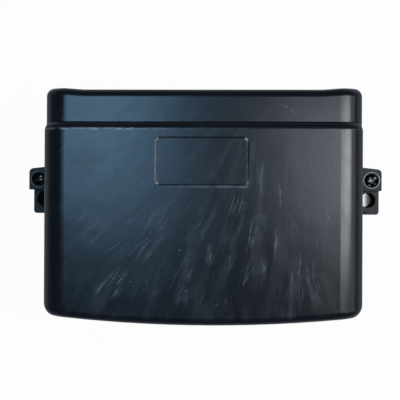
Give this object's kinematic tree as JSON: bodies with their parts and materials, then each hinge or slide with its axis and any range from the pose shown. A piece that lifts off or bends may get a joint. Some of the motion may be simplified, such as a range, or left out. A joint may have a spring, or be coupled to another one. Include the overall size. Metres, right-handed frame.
{
  "type": "electronics project box",
  "caption": "Shallow plastic electronics box with a stepped front cover, bowed lower edge, bare label recess and side ears with cover screws and mounting holes.",
  "frame": {"origin": "centre of the bounding box at the back plane, which the box lies on", "axes": "+X across the box to the right as seen from the front, +Y up its face towards the stepped band, +Z out of the front"},
  "size_m": [0.2004, 0.1316, 0.056],
  "materials": {
    "housing": "fine satin moulding, scuffed in use",
    "seal": "matt black rubber",
    "screw": "black zinc plate"
  },
  "bodies": {
    "tray": {"rear_tray": "housing", "rim_seal": "seal"},
    "cover": {"front_cover": "housing", "cover_screw_left": "screw", "cover_screw_right": "screw"}
  },
  "joints": [
    {"name": "cover_lift", "type": "slide", "parent": "tray", "child": "cover", "axis": [0, 0, 1], "range_m": [0, 0.06]}
  ]
}
